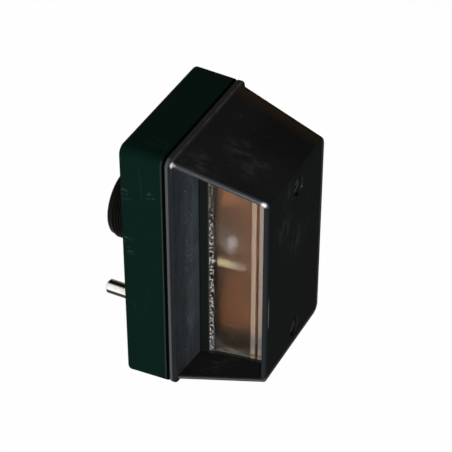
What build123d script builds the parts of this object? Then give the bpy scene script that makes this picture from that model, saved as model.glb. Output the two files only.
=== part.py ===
from build123d import *
import os

os.makedirs("parts", exist_ok=True)

# A number plate lamp. The mounting face lies in the plane y = 0, the lamp stands forward of it
# along -Y, +Z runs up its long side, and the lens looks towards -X.
# A depth is a distance forward from the mounting face.

# Outline where the base and the hood meet
face_height = 92.0
face_width = 51.3
face_corner = 2.8

# Base tray, a little larger at the mounting face
base_depth = 15.1
base_draft = 0.6
base_wall = 2.6
back_wall = 3.0
base_back_round = 1.2
base_front_round = 0.5

# Hood, a hollow frustum on a rim
gasket_thickness = 0.7
gasket_setback = 0.6
rim_thickness = 2.2
rim_step = 0.9
rim_round = 0.8
rim_back_round = 0.3
hood_depth = 32.35
front_height = 73.2
front_width = 42.9
open_rim_setback = 0.45
open_front_setback = 1.35
rim_side_corner = 1.5
front_side_corner = 3.8
front_round = 1.1
hood_wall = 1.5
lip_height = 2.5
lip_wall = 1.4
lip_clearance = 0.3
lip_corner = 1.5

# Recess on the lens side, and the seat of the lens at its inner end
recess_width = 16.3
floor_rise = 1.2
sill_height = 3.1
recess_edge_ease = 0.2
free_edge_flat = 0.1
seat_ledge = 1.5
partition_wall = 1.5

# Lens, a wedge that is thicker towards the front
lens_edge = 1.4
lens_growth = 2.5
lens_proud = 0.3
lens_clearance = 0.15
lens_gasket_thickness = 0.4
lens_lip_width = 2.4
lens_lip_height = 0.4
lens_strip_setback = 7.8
lens_strip_height = 0.4
groove_setback = 6.1
groove_width = 0.6

# Line that the bulb and the spigot share, right of the middle
bulb_line = 4.0

# Cover screws in columns of the hood, driven into inserts in bosses of the base
screw_spacing = 58.4
screw_radius = 1.75
screw_head_radius = 3.1
screw_head_height = 2.4
screw_head_recess = 0.9
screw_slot_width = 0.9
screw_slot_depth = 1.1
screw_slot_angle = 35.0
screw_seal_thickness = 0.6
screw_clearance = 0.25
screw_end_gap = 0.8
column_radius = 5.0
counterbore_radius = 3.5
boss_radius = 3.9
insert_radius = 2.6
insert_length = 7.0

# Threaded spigot that passes through the mounting surface and takes the cable
spigot_radius = 12.5
spigot_length = 16.3
spigot_bore = 8.5
spigot_chamfer = 0.8
spigot_flange_radius = 15.6
spigot_flange_thickness = 2.4
spigot_seal_thickness = 0.8
spigot_shoulder_radius = 13.0
spigot_shoulder_proud = 0.3
spigot_clearance = 0.1

# Locating pin that stops the lamp turning on its spigot
pin_radius = 2.5
pin_length = 18.4
pin_chamfer = 0.8
pin_side_inset = 20.05
pin_end_inset = 14.9
pin_shoulder_radius = 3.0
pin_shoulder_proud = 0.3
pin_collar_radius = 3.5
pin_collar_thickness = 1.5
pin_clearance = 0.05

# Bulb with a bayonet cap, on the bulb line at mid height
bulb_glass_radius = 4.4
bulb_glass_wall = 0.5
bulb_neck_radius = 3.8
bulb_length = 18.5
bulb_shoulder = 1.5
cap_radius = 4.6
cap_wall = 0.4
cap_length = 9.5
cap_pin_radius = 0.9
cap_pin_reach = 0.9
cap_pin_setback = 4.6
bulb_insulator_height = 0.8
bulb_contact_radius = 1.8
bulb_contact_height = 0.6
stem_radius = 2.4
stem_length = 4.0
stem_foot = 1.0
post_radius = 0.2
post_spread = 2.2
post_length = 12.0
filament_radius = 0.3

# Socket sleeve and its spring contact
socket_clearance = 0.15
socket_wall = 0.5
socket_mouth_cover = 9.0
socket_flange_reach = 1.5
socket_flange_thickness = 0.6
slot_width = 2.2
slot_turn = 24.0
insulator_thickness = 1.4
plunger_head_radius = 1.8
plunger_head_height = 0.6
plunger_stem_radius = 0.9
plunger_clearance = 0.1
spring_gap = 1.3
spring_wire_radius = 0.14
spring_turns = 2.5

# Bracket that carries the socket on two posts of the base
bracket_depth = 11.0
bracket_sheet = 1.0
bracket_width = 13.4
bracket_length = 48.0
bracket_corner = 2.0
post_inset = 3.5
support_post_radius = 3.0
small_screw_radius = 1.4
small_head_radius = 2.7
small_head_height = 1.7
small_screw_length = 6.0
small_slot_angle = 20.0

# Terminal block beside the spigot, with the live strip and the earth arm on it
block_height = 21.0
block_corner = 1.0
block_wall_gap = 1.0
block_flange_gap = 0.7
block_shift = -5.5
terminal_pitch = 11.0
terminal_radius = 2.4
terminal_depth = 6.0
wire_hole_radius = 1.5
wire_hole_drop = 3.9
strip_thickness = 0.5
strip_width = 4.0
strip_gap = 0.3
arm_width = 6.0

# Reflector, one pressed sheet: a flange behind the lens with a bowl around the bulb
reflector_sheet = 0.6
reflector_gap = 0.4
bowl_height = 42.0
bowl_margin = 0.6
bowl_bulb_gap = 1.5
bowl_corner_share = 0.45
bowl_slope_z = 7.0
bowl_slope_y = 3.0
bulb_hole_clearance = 0.6
guide_setback = 1.45
guide_rib_height = 2.2
guide_rib_thickness = 0.8
guide_clearance = 0.1
support_rib_thickness = 1.6

# Depths that follow from the sizes above
rim_back = base_depth + gasket_thickness
rim_front = rim_back + rim_thickness
front_face = rim_back + hood_depth
front_wall_back = front_face - hood_wall
sill_top = rim_front + floor_rise + sill_height
bracket_front = bracket_depth + bracket_sheet

# The free ends of the hood's walls are rounded right over, up to the eased inner edge
open_corner = hood_wall - recess_edge_ease - free_edge_flat

# Stations across the hood, from the lens side inwards
lens_side = -face_width / 2
floor_start_x = lens_side + 2 * rim_step
sill_x = lens_side + recess_width
lens_back_x = sill_x - lens_proud + lens_edge
ledge_x = lens_back_x + lens_gasket_thickness
cavity_x = ledge_x + partition_wall
lens_front_x = lens_back_x - lens_edge - lens_growth
guide_x = cavity_x + guide_setback
flange_x = guide_x + guide_rib_thickness + guide_clearance
reflector_back_x = flange_x + reflector_sheet
screw_x = reflector_back_x + reflector_gap + column_radius

# Half heights and half widths of the hood's opening at its lip
lip_half_width = face_width / 2 - base_wall - lip_clearance - lip_wall
lip_half_height = face_height / 2 - base_wall - lip_clearance - lip_wall

pin_x = lens_side + pin_side_inset
pin_z = pin_end_inset - face_height / 2
screw_points = [(screw_x, screw_spacing / 2), (screw_x, -screw_spacing / 2)]
post_spacing = bracket_length - 2 * post_inset
post_points = [(bulb_line, post_spacing / 2), (bulb_line, -post_spacing / 2)]
bulb_axis = Axis((bulb_line, 0, 0), (0, -1, 0))


def at_depth(depth):
    """The plane parallel to the mounting face, facing forward: local x is X and local y is Z."""
    return Plane.XZ.offset(depth)


def at_station(x):
    """The plane across the lamp at x, facing +X: local x is Y and local y is Z."""
    return Plane.YZ.offset(x)


def hood_half_height(depth):
    """Half the height of the hood's sloped outside at a depth."""
    rim_half = face_height / 2 - rim_step
    return rim_half + (front_height / 2 - rim_half) * (depth - rim_back) / hood_depth


def hood_half_width(depth):
    """Half the width of the hood's sloped outside at a depth."""
    rim_half = face_width / 2 - rim_step
    return rim_half + (front_width / 2 - rim_half) * (depth - rim_back) / hood_depth


def open_side_x(depth):
    """Where the hood's open side lies at a depth: it stands in from the mirror image of the far side."""
    share = (depth - rim_back) / hood_depth
    return open_rim_setback + (open_front_setback - open_rim_setback) * share - hood_half_width(depth)


def cavity_half_height(depth):
    """Half the height of the bulb space at a depth."""
    far_half = hood_half_height(front_wall_back) - hood_wall
    share = (depth - rim_back) / (front_wall_back - rim_back)
    return lip_half_height + (far_half - lip_half_height) * share


def between_walls(near, far, margin):
    """Corners of the space between the hood's sloped top and bottom walls, in Y and Z."""
    near_half = hood_half_height(near) - hood_wall - margin
    far_half = hood_half_height(far) - hood_wall - margin
    return [(-near, near_half), (-far, far_half), (-far, -far_half), (-near, -near_half)]


def in_cavity(near, far, margin):
    """Corners of a plate that follows the bulb space's top and bottom, in Y and Z."""
    near_half = cavity_half_height(near) - margin
    far_half = cavity_half_height(far) - margin
    return [(-near, near_half), (-far, far_half), (-far, -far_half), (-near, -near_half)]


# Depths of the socket, the bulb and the parts behind them
spigot_flange_front = back_wall + spigot_seal_thickness + spigot_flange_thickness
strip_back = spigot_flange_front + strip_gap
strip_front = strip_back + strip_thickness
insulator_back = strip_front + strip_gap
insulator_front = insulator_back + insulator_thickness
plunger_head_back = insulator_front + spring_gap
bulb_contact_back = plunger_head_back + plunger_head_height
bulb_insulator_back = bulb_contact_back + bulb_contact_height
cap_back = bulb_insulator_back + bulb_insulator_height
cap_front = cap_back + cap_length
bulb_tip = cap_front + bulb_length
socket_mouth = cap_back + socket_mouth_cover
socket_bore = cap_radius + socket_clearance
socket_radius = socket_bore + socket_wall
cap_pin_depth = cap_front - cap_pin_setback

with BuildPart() as base_housing:
    with BuildSketch(at_depth(0)):
        RectangleRounded(
            face_width + 2 * base_draft, face_height + 2 * base_draft, face_corner + base_draft
        )
    with BuildSketch(at_depth(base_depth)):
        RectangleRounded(face_width, face_height, face_corner)
    loft()
    fillet(base_housing.edges().group_by(Axis.Y)[-1], base_back_round)
    fillet(base_housing.edges().group_by(Axis.Y)[0], base_front_round)
    with BuildSketch(at_depth(back_wall)):
        RectangleRounded(
            face_width - 2 * base_wall, face_height - 2 * base_wall, face_corner - base_wall
        )
    extrude(amount=base_depth - back_wall, mode=Mode.SUBTRACT)
    with BuildSketch(at_depth(back_wall)):
        with Locations(*screw_points):
            Circle(boss_radius)
    extrude(amount=base_depth - back_wall)
    with BuildSketch(at_depth(back_wall)):
        with Locations(*post_points):
            Circle(support_post_radius)
    extrude(amount=bracket_depth - back_wall)
    with BuildSketch(at_depth(0)):
        with Locations((bulb_line, 0)):
            Circle(spigot_shoulder_radius + spigot_clearance)
        with Locations((pin_x, pin_z)):
            Circle(pin_shoulder_radius + pin_clearance)
    extrude(amount=back_wall, mode=Mode.SUBTRACT)
    with BuildSketch(at_depth(base_depth - insert_length)):
        with Locations(*screw_points):
            Circle(insert_radius)
    extrude(amount=insert_length, mode=Mode.SUBTRACT)
    with BuildSketch(at_depth(bracket_front - small_screw_length)):
        with Locations(*post_points):
            Circle(small_screw_radius)
    extrude(amount=small_screw_length - bracket_sheet, mode=Mode.SUBTRACT)

base_housing.part.label = "base_housing"
export_step(base_housing.part, "parts/base_housing.step")

with BuildPart() as threaded_spigot:
    with BuildSketch(at_depth(-spigot_length)):
        with Locations((bulb_line, 0)):
            Circle(spigot_radius)
    extrude(amount=spigot_length + spigot_flange_front)
    chamfer(threaded_spigot.edges().group_by(Axis.Y)[-1], spigot_chamfer)
    with BuildSketch(at_depth(-spigot_shoulder_proud)):
        with Locations((bulb_line, 0)):
            Circle(spigot_shoulder_radius)
    extrude(amount=spigot_shoulder_proud + spigot_flange_front)
    with BuildSketch(at_depth(back_wall + spigot_seal_thickness)):
        with Locations((bulb_line, 0)):
            Circle(spigot_flange_radius)
    extrude(amount=spigot_flange_thickness)
    with BuildSketch(at_depth(-spigot_length)):
        with Locations((bulb_line, 0)):
            Circle(spigot_bore)
    extrude(amount=spigot_length + spigot_flange_front, mode=Mode.SUBTRACT)
    chamfer(threaded_spigot.edges().filter_by(GeomType.CIRCLE).sort_by(SortBy.RADIUS)[:2], spigot_chamfer)

threaded_spigot.part.label = "threaded_spigot"
export_step(threaded_spigot.part, "parts/threaded_spigot.step")

with BuildPart() as spigot_seal:
    with BuildSketch(at_depth(back_wall)):
        with Locations((bulb_line, 0)):
            Circle(spigot_flange_radius)
            Circle(spigot_shoulder_radius + spigot_clearance, mode=Mode.SUBTRACT)
    extrude(amount=spigot_seal_thickness)

spigot_seal.part.label = "spigot_seal"
export_step(spigot_seal.part, "parts/spigot_seal.step")

with BuildPart() as locating_pin:
    with BuildSketch(at_depth(-pin_length)):
        with Locations((pin_x, pin_z)):
            Circle(pin_radius)
    extrude(amount=pin_length + back_wall)
    chamfer(locating_pin.edges().group_by(Axis.Y)[-1], pin_chamfer)
    with BuildSketch(at_depth(-pin_shoulder_proud)):
        with Locations((pin_x, pin_z)):
            Circle(pin_shoulder_radius)
    extrude(amount=pin_shoulder_proud + back_wall)
    with BuildSketch(at_depth(back_wall)):
        with Locations((pin_x, pin_z)):
            Circle(pin_collar_radius)
    extrude(amount=pin_collar_thickness)

locating_pin.part.label = "locating_pin"
export_step(locating_pin.part, "parts/locating_pin.step")

with BuildPart() as hood_gasket:
    with BuildSketch(at_depth(base_depth)):
        RectangleRounded(
            face_width - 2 * gasket_setback, face_height - 2 * gasket_setback, face_corner - gasket_setback
        )
        RectangleRounded(
            face_width - 2 * base_wall,
            face_height - 2 * base_wall,
            face_corner - base_wall,
            mode=Mode.SUBTRACT,
        )
    extrude(amount=gasket_thickness)

hood_gasket.part.label = "hood_gasket"
export_step(hood_gasket.part, "parts/hood_gasket.step")

with BuildPart() as hood:
    # Rim, with the frustum standing on it: the corners on the open side are the tighter ones
    with BuildSketch(at_depth(rim_back)):
        RectangleRounded(face_width, face_height, face_corner)
    extrude(amount=rim_thickness)
    fillet(hood.edges().group_by(Axis.Y)[-1], rim_back_round)
    fillet(hood.edges().group_by(Axis.Y)[0], rim_round)
    for depth, side_corner in ((rim_back, rim_side_corner), (front_face, front_side_corner)):
        with BuildSketch(at_depth(depth)) as section:
            with Locations(((hood_half_width(depth) + open_side_x(depth)) / 2, 0)):
                Rectangle(hood_half_width(depth) - open_side_x(depth), 2 * hood_half_height(depth))
            fillet(section.vertices().group_by(Axis.X)[0], open_corner)
            fillet(section.vertices().group_by(Axis.X)[-1], side_corner)
    loft()
    fillet(hood.edges().group_by(Axis.Y)[0], front_round)
    # Lip that drops inside the base
    with BuildSketch(at_depth(rim_back - lip_height)):
        RectangleRounded(
            2 * (lip_half_width + lip_wall), 2 * (lip_half_height + lip_wall), lip_corner + lip_wall
        )
        RectangleRounded(2 * lip_half_width, 2 * lip_half_height, lip_corner, mode=Mode.SUBTRACT)
    extrude(amount=lip_height)
    # Recess, open on the lens side: level with the rim at first, then with a sloped floor
    with BuildSketch(at_station(2 * lens_side)):
        Polygon(*between_walls(rim_front, front_wall_back, 0), align=None)
    extrude(amount=floor_start_x - 2 * lens_side, mode=Mode.SUBTRACT)
    with BuildSketch(at_station(floor_start_x)):
        Polygon(*between_walls(rim_front, front_wall_back, 0), align=None)
    with BuildSketch(at_station(sill_x)):
        Polygon(*between_walls(rim_front + floor_rise, front_wall_back, 0), align=None)
    loft(mode=Mode.SUBTRACT)
    # Eased inner edges at the free ends of the front wall and of the top and bottom walls
    front_edge_x = open_side_x(front_wall_back)
    front_edge_half = hood_half_height(front_wall_back) - hood_wall
    with BuildSketch(Plane.XY):
        Polygon(
            (front_edge_x + recess_edge_ease, -front_wall_back),
            (front_edge_x - recess_edge_ease, -front_wall_back - 2 * recess_edge_ease),
            (front_edge_x - recess_edge_ease, -front_wall_back + recess_edge_ease),
            align=None,
        )
    extrude(amount=front_edge_half, both=True, mode=Mode.SUBTRACT)
    for side in (1, -1):
        for depth in (rim_front, front_wall_back):
            edge_x = open_side_x(depth)
            edge_z = hood_half_height(depth) - hood_wall
            with BuildSketch(at_depth(depth)):
                Polygon(
                    (edge_x + recess_edge_ease, side * edge_z),
                    (edge_x - recess_edge_ease, side * (edge_z + 2 * recess_edge_ease)),
                    (edge_x - recess_edge_ease, side * (edge_z - recess_edge_ease)),
                    align=None,
                )
        loft(ruled=True, mode=Mode.SUBTRACT)
    # Seat of the lens and the window behind it
    with BuildSketch(at_station(sill_x)):
        Polygon(*between_walls(sill_top, front_wall_back, 0), align=None)
    extrude(amount=ledge_x - sill_x, mode=Mode.SUBTRACT)
    with BuildSketch(at_station(ledge_x)):
        Polygon(*between_walls(sill_top + seat_ledge, front_wall_back - seat_ledge, seat_ledge), align=None)
    extrude(amount=partition_wall, mode=Mode.SUBTRACT)
    # Bulb space, from the lip to the front wall
    for depth, half_width in (
        (rim_back, lip_half_width),
        (front_wall_back, hood_half_width(front_wall_back) - hood_wall),
    ):
        with BuildSketch(at_depth(depth)):
            with Locations(((cavity_x + half_width) / 2, 0)):
                Rectangle(half_width - cavity_x, 2 * cavity_half_height(depth))
    loft(mode=Mode.SUBTRACT)
    # Screw columns with a rib that backs the reflector
    with BuildSketch(at_depth(base_depth)):
        with Locations(*screw_points):
            Circle(column_radius)
    extrude(amount=front_wall_back - base_depth)
    with BuildSketch(at_depth(sill_top)):
        with Locations(*[((reflector_back_x + x) / 2, z) for x, z in screw_points]):
            Rectangle(screw_x - reflector_back_x, support_rib_thickness)
    extrude(amount=front_wall_back - sill_top)
    # Guide ribs that hold the reflector's long edges against those ribs
    with BuildSketch(at_station(guide_x)):
        Polygon(*in_cavity(sill_top, front_wall_back, 0), align=None)
        Polygon(*in_cavity(sill_top, front_wall_back, guide_rib_height), align=None, mode=Mode.SUBTRACT)
    extrude(amount=guide_rib_thickness)
    # Counterbored screw holes
    with Locations(at_depth(front_face)):
        with Locations(*screw_points):
            CounterBoreHole(
                screw_radius + screw_clearance,
                counterbore_radius,
                screw_head_recess + screw_head_height + screw_seal_thickness,
            )

hood.part.label = "hood"
export_step(hood.part, "parts/hood.step")

lens_rear = sill_top + lens_clearance
lens_front = front_wall_back - lens_clearance


def lens_face_x(depth):
    """Where the lens's sloped outer face lies at a depth."""
    return lens_back_x - lens_edge - lens_growth * (depth - lens_rear) / (lens_front - lens_rear)


with BuildPart() as lens:
    with BuildSketch(at_station(lens_front_x - lens_strip_height)):
        Polygon(*between_walls(lens_rear, lens_front, lens_clearance), align=None)
    extrude(amount=lens_edge + lens_growth + lens_strip_height)
    # Its section: a lip at the edge nearest the base, and a grooved strip along the front edge
    lip_front = lens_rear + lens_lip_width
    lens_strip_back = lens_front - lens_strip_setback
    groove_back = lens_front - groove_setback
    groove_front = groove_back + groove_width
    with BuildSketch(Plane.XY):
        Polygon(
            (lens_back_x, -lens_rear),
            (lens_face_x(lip_front) - lens_lip_height, -lens_rear),
            (lens_face_x(lip_front) - lens_lip_height, -lip_front),
            (lens_face_x(lip_front), -lip_front),
            (lens_face_x(lens_strip_back), -lens_strip_back),
            (lens_face_x(lens_strip_back) - lens_strip_height, -lens_strip_back),
            (lens_face_x(groove_back) - lens_strip_height, -groove_back),
            (lens_face_x(groove_back), -groove_back),
            (lens_face_x(groove_front), -groove_front),
            (lens_face_x(groove_front) - lens_strip_height, -groove_front),
            (lens_face_x(lens_front) - lens_strip_height, -lens_front),
            (lens_back_x, -lens_front),
            align=None,
        )
    extrude(amount=face_height, both=True, mode=Mode.INTERSECT)

lens.part.label = "lens"
export_step(lens.part, "parts/lens.step")

with BuildPart() as lens_gasket:
    with BuildSketch(at_station(lens_back_x)):
        Polygon(*between_walls(lens_rear, lens_front, lens_clearance), align=None)
        Polygon(
            *between_walls(sill_top + seat_ledge, front_wall_back - seat_ledge, seat_ledge),
            align=None,
            mode=Mode.SUBTRACT,
        )
    extrude(amount=lens_gasket_thickness)

lens_gasket.part.label = "lens_gasket"
export_step(lens_gasket.part, "parts/lens_gasket.step")

with BuildPart() as reflector:
    flange_near = sill_top + guide_clearance
    flange_far = front_wall_back - guide_clearance
    bowl_back_x = bulb_line + bulb_glass_radius + bowl_bulb_gap + reflector_sheet
    bowl_depth_middle = (sill_top + front_wall_back) / 2
    bowl_width = front_wall_back - sill_top - 2 * bowl_margin
    bowl_corner = bowl_corner_share * (bowl_width - 2 * bowl_slope_y)
    with BuildSketch(at_station(flange_x)):
        Polygon(*in_cavity(flange_near, flange_far, guide_clearance), align=None)
    extrude(amount=reflector_sheet)
    # The bowl outside and then its inside, both drawn in from the flange
    for inset, mode in ((0, Mode.ADD), (reflector_sheet, Mode.SUBTRACT)):
        with BuildSketch(at_station(flange_x)):
            with Locations((-bowl_depth_middle, 0)):
                RectangleRounded(bowl_width - 2 * inset, bowl_height - 2 * inset, bowl_corner - inset)
        with BuildSketch(at_station(bowl_back_x - inset)):
            with Locations((-bowl_depth_middle, 0)):
                RectangleRounded(
                    bowl_width - 2 * bowl_slope_y - 2 * inset,
                    bowl_height - 2 * bowl_slope_z - 2 * inset,
                    bowl_corner - inset,
                )
        loft(mode=mode)
    # Hole in the wall nearest the base, where the bulb comes through
    with BuildSketch(at_depth(flange_near)):
        with Locations((bulb_line, 0)):
            Circle(bulb_glass_radius + bulb_hole_clearance)
    extrude(amount=bowl_depth_middle - flange_near, mode=Mode.SUBTRACT)

reflector.part.label = "reflector"
export_step(reflector.part, "parts/reflector.step")

with BuildPart() as cover_screws:
    head_top = front_face - screw_head_recess
    head_bottom = head_top - screw_head_height
    screw_end = base_depth - insert_length + screw_end_gap
    with BuildSketch(at_depth(screw_end)):
        with Locations(*screw_points):
            Circle(screw_radius)
    extrude(amount=head_bottom - screw_end)
    with BuildSketch(at_depth(head_bottom)):
        with Locations(*screw_points):
            Circle(screw_head_radius)
    extrude(amount=screw_head_height)
    with BuildSketch(at_depth(head_top - screw_slot_depth)):
        with Locations(*screw_points):
            Rectangle(3 * screw_head_radius, screw_slot_width, rotation=screw_slot_angle)
    extrude(amount=screw_slot_depth, mode=Mode.SUBTRACT)

cover_screws.part.label = "cover_screws"
export_step(cover_screws.part, "parts/cover_screws.step")

with BuildPart() as screw_seals:
    with BuildSketch(at_depth(head_bottom - screw_seal_thickness)):
        with Locations(*screw_points):
            Circle(screw_head_radius)
            Circle(screw_radius + screw_clearance / 2, mode=Mode.SUBTRACT)
    extrude(amount=screw_seal_thickness)

screw_seals.part.label = "screw_seals"
export_step(screw_seals.part, "parts/screw_seals.step")

with BuildPart() as thread_inserts:
    with BuildSketch(at_depth(base_depth - insert_length)):
        with Locations(*screw_points):
            Circle(insert_radius)
            Circle(screw_radius, mode=Mode.SUBTRACT)
    extrude(amount=insert_length)

thread_inserts.part.label = "thread_inserts"
export_step(thread_inserts.part, "parts/thread_inserts.step")

# Terminal block stations: it stands between the lens side's wall of the base and the spigot's flange
block_left = lens_side + base_wall + block_wall_gap
block_right = bulb_line - spigot_flange_radius - block_flange_gap
block_width = block_right - block_left
terminal_x = (block_left + block_right) / 2
live_point = (terminal_x, 0)
earth_point = (terminal_x, -terminal_pitch)
terminal_points = [live_point, earth_point]

with BuildPart() as terminal_block:
    with BuildSketch(at_depth(back_wall)):
        with Locations((terminal_x, block_shift)):
            RectangleRounded(block_width, block_height, block_corner)
    extrude(amount=bracket_depth - back_wall)
    with BuildSketch(at_depth(bracket_depth - terminal_depth)):
        with Locations(*terminal_points):
            Circle(terminal_radius)
    extrude(amount=terminal_depth, mode=Mode.SUBTRACT)
    with BuildSketch(at_station(terminal_x)):
        with Locations(*[(-bracket_depth + wire_hole_drop, z) for x, z in terminal_points]):
            Circle(wire_hole_radius)
    extrude(amount=block_width, mode=Mode.SUBTRACT)

terminal_block.part.label = "terminal_block"
export_step(terminal_block.part, "parts/terminal_block.step")

with BuildPart() as terminal_inserts:
    with BuildSketch(at_depth(bracket_depth - terminal_depth)):
        with Locations(*terminal_points):
            Circle(terminal_radius)
    extrude(amount=terminal_depth)
    with BuildSketch(at_depth(bracket_depth + strip_thickness - small_screw_length)):
        with Locations(*terminal_points):
            Circle(small_screw_radius)
    extrude(amount=small_screw_length, mode=Mode.SUBTRACT)
    with BuildSketch(at_station(terminal_x)):
        with Locations(*[(-bracket_depth + wire_hole_drop, z) for x, z in terminal_points]):
            Circle(wire_hole_radius)
    extrude(amount=block_width, mode=Mode.SUBTRACT)

terminal_inserts.part.label = "terminal_inserts"
export_step(terminal_inserts.part, "parts/terminal_inserts.step")

with BuildPart() as holder_bracket:
    with BuildSketch(at_depth(bracket_depth)):
        with Locations((bulb_line, 0)):
            RectangleRounded(bracket_width, bracket_length, bracket_corner)
        with Locations(((block_left + bulb_line) / 2, -terminal_pitch)):
            Rectangle(bulb_line - block_left, arm_width)
        with Locations((bulb_line, 0)):
            Circle(socket_radius, mode=Mode.SUBTRACT)
        with Locations(*post_points, earth_point):
            Circle(small_screw_radius, mode=Mode.SUBTRACT)
    extrude(amount=bracket_sheet)

holder_bracket.part.label = "holder_bracket"
export_step(holder_bracket.part, "parts/holder_bracket.step")

with BuildPart() as live_strip:
    strip_drop_x = block_right + strip_gap
    with BuildSketch(Plane.XY.offset(-strip_width / 2)):
        Polygon(
            (block_left, -bracket_depth),
            (block_left, -bracket_depth - strip_thickness),
            (strip_drop_x + strip_thickness, -bracket_depth - strip_thickness),
            (strip_drop_x + strip_thickness, -strip_front),
            (bulb_line + strip_width / 2, -strip_front),
            (bulb_line + strip_width / 2, -strip_back),
            (strip_drop_x, -strip_back),
            (strip_drop_x, -bracket_depth),
            align=None,
        )
    extrude(amount=strip_width)
    with BuildSketch(at_depth(bracket_depth)):
        with Locations(live_point):
            Circle(small_screw_radius)
    extrude(amount=strip_thickness, mode=Mode.SUBTRACT)

live_strip.part.label = "live_strip"
export_step(live_strip.part, "parts/live_strip.step")

# Slotted screws with the depth of the face that each head sits on
bracket_screw_seats = [(point, bracket_front) for point in post_points]
terminal_screw_seats = [(live_point, bracket_depth + strip_thickness), (earth_point, bracket_front)]

with BuildPart() as bracket_screws:
    for point, seat in bracket_screw_seats:
        with BuildSketch(at_depth(seat - small_screw_length)):
            with Locations(point):
                Circle(small_screw_radius)
        extrude(amount=small_screw_length)
        with BuildSketch(at_depth(seat)):
            with Locations(point):
                Circle(small_head_radius)
        extrude(amount=small_head_height)
        with BuildSketch(at_depth(seat + small_head_height / 2)):
            with Locations(point):
                Rectangle(3 * small_head_radius, screw_slot_width, rotation=small_slot_angle)
        extrude(amount=small_head_height / 2, mode=Mode.SUBTRACT)

bracket_screws.part.label = "bracket_screws"
export_step(bracket_screws.part, "parts/bracket_screws.step")

with BuildPart() as terminal_screws:
    for point, seat in terminal_screw_seats:
        with BuildSketch(at_depth(seat - small_screw_length)):
            with Locations(point):
                Circle(small_screw_radius)
        extrude(amount=small_screw_length)
        with BuildSketch(at_depth(seat)):
            with Locations(point):
                Circle(small_head_radius)
        extrude(amount=small_head_height)
        with BuildSketch(at_depth(seat + small_head_height / 2)):
            with Locations(point):
                Rectangle(3 * small_head_radius, screw_slot_width, rotation=small_slot_angle)
        extrude(amount=small_head_height / 2, mode=Mode.SUBTRACT)

terminal_screws.part.label = "terminal_screws"
export_step(terminal_screws.part, "parts/terminal_screws.step")

with BuildPart() as bulb_socket:
    with BuildSketch(at_depth(insulator_back)):
        with Locations((bulb_line, 0)):
            Circle(socket_radius)
    extrude(amount=socket_mouth - insulator_back)
    with BuildSketch(at_depth(bracket_front)):
        with Locations((bulb_line, 0)):
            Circle(socket_radius + socket_flange_reach)
    extrude(amount=socket_flange_thickness)
    with BuildSketch(at_depth(insulator_back)):
        with Locations((bulb_line, 0)):
            Circle(socket_bore)
    extrude(amount=socket_mouth - insulator_back, mode=Mode.SUBTRACT)
    # Bayonet slots: straight in from the mouth, then round to where the cap's pins rest
    slot_end = cap_pin_depth - slot_width / 2
    with BuildSketch(at_depth(slot_end)):
        with Locations((bulb_line, 0)):
            Rectangle(slot_width, 4 * socket_radius)
    extrude(amount=socket_mouth - slot_end, mode=Mode.SUBTRACT)
    with BuildSketch(at_depth(slot_end)):
        with Locations((bulb_line, 0)):
            for turn in (slot_turn / 2, slot_turn):
                Rectangle(slot_width, 4 * socket_radius, rotation=turn)
    extrude(amount=slot_width, mode=Mode.SUBTRACT)

bulb_socket.part.label = "bulb_socket"
export_step(bulb_socket.part, "parts/bulb_socket.step")

with BuildPart() as socket_insulator:
    with BuildSketch(at_depth(insulator_back)):
        with Locations((bulb_line, 0)):
            Circle(socket_bore)
            Circle(plunger_stem_radius + plunger_clearance, mode=Mode.SUBTRACT)
    extrude(amount=insulator_thickness)

socket_insulator.part.label = "socket_insulator"
export_step(socket_insulator.part, "parts/socket_insulator.step")

with BuildPart() as contact_plunger:
    with BuildSketch(at_depth(strip_front)):
        with Locations((bulb_line, 0)):
            Circle(plunger_stem_radius)
    extrude(amount=plunger_head_back - strip_front)
    with BuildSketch(at_depth(plunger_head_back)):
        with Locations((bulb_line, 0)):
            Circle(plunger_head_radius)
    extrude(amount=plunger_head_height)

contact_plunger.part.label = "contact_plunger"
export_step(contact_plunger.part, "parts/contact_plunger.step")

with BuildPart() as contact_spring:
    spring_radius = plunger_stem_radius + plunger_clearance + 2 * spring_wire_radius
    spring_rise = spring_gap - 2 * spring_wire_radius
    with BuildLine() as coil:
        Helix(
            pitch=spring_rise / spring_turns,
            height=spring_rise,
            radius=spring_radius,
            center=(bulb_line, -insulator_front - spring_wire_radius, 0),
            direction=(0, -1, 0),
        )
    with BuildSketch(Plane(origin=coil.line @ 0, z_dir=coil.line % 0)):
        Circle(spring_wire_radius)
    sweep(path=coil.line, is_frenet=True)

contact_spring.part.label = "contact_spring"
export_step(contact_spring.part, "parts/contact_spring.step")

with BuildPart() as bulb_contact:
    with BuildSketch(at_depth(bulb_contact_back)):
        with Locations((bulb_line, 0)):
            Circle(bulb_contact_radius)
    extrude(amount=bulb_contact_height)

bulb_contact.part.label = "bulb_contact"
export_step(bulb_contact.part, "parts/bulb_contact.step")

with BuildPart() as bulb_insulator:
    with BuildSketch(at_depth(bulb_insulator_back)):
        with Locations((bulb_line, 0)):
            Circle(cap_radius - cap_wall)
    extrude(amount=bulb_insulator_height)

bulb_insulator.part.label = "bulb_insulator"
export_step(bulb_insulator.part, "parts/bulb_insulator.step")

with BuildPart() as bulb_cap:
    with BuildSketch(at_depth(cap_back)):
        with Locations((bulb_line, 0)):
            Circle(cap_radius)
    extrude(amount=cap_length)
    # Two pins stand out of the cap at the end of the socket's slots
    with BuildSketch(at_depth(cap_pin_depth)):
        with Locations((bulb_line, 0)):
            pin_span = 2 * (socket_radius + cap_pin_reach)
            Rectangle(2 * cap_pin_radius, pin_span, rotation=slot_turn)
    extrude(amount=cap_pin_radius, both=True)
    with BuildSketch(at_depth(cap_back + cap_wall)):
        with Locations((bulb_line, 0)):
            Circle(cap_radius - cap_wall)
    extrude(amount=cap_length - cap_wall, mode=Mode.SUBTRACT)

bulb_cap.part.label = "bulb_cap"
export_step(bulb_cap.part, "parts/bulb_cap.step")

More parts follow.
